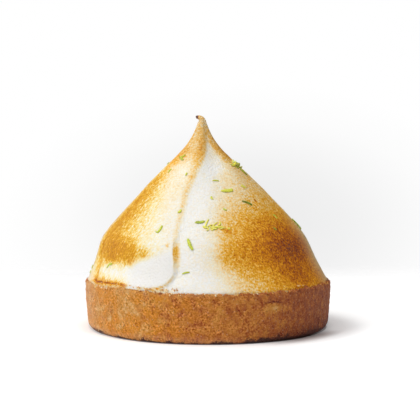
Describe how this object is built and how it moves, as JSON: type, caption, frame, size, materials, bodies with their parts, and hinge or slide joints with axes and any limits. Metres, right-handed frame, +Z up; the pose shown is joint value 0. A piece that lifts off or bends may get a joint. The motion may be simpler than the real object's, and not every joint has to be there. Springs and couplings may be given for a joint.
{
  "type": "lemon meringue tart",
  "caption": "Individual lemon tart: round shortcrust case under a tall torched meringue peak with a knife ridge and a curled tip, strewn with green citrus zest.",
  "frame": {"origin": "middle of the crust's flat foot, on the surface that the tart stands on", "axes": "+Z up through the meringue's peak, -Y towards the front, where the knife ridge is, +X to the right seen from the front"},
  "size_m": [0.08, 0.08, 0.069],
  "materials": {
    "shortcrust": null,
    "torched_meringue": "soft Italian meringue, white where the torch missed it and golden to dark brown where it was torched; satin"
  },
  "bodies": {
    "root": {"crust": "shortcrust", "meringue": "torched_meringue"}
  },
  "joints": []
}
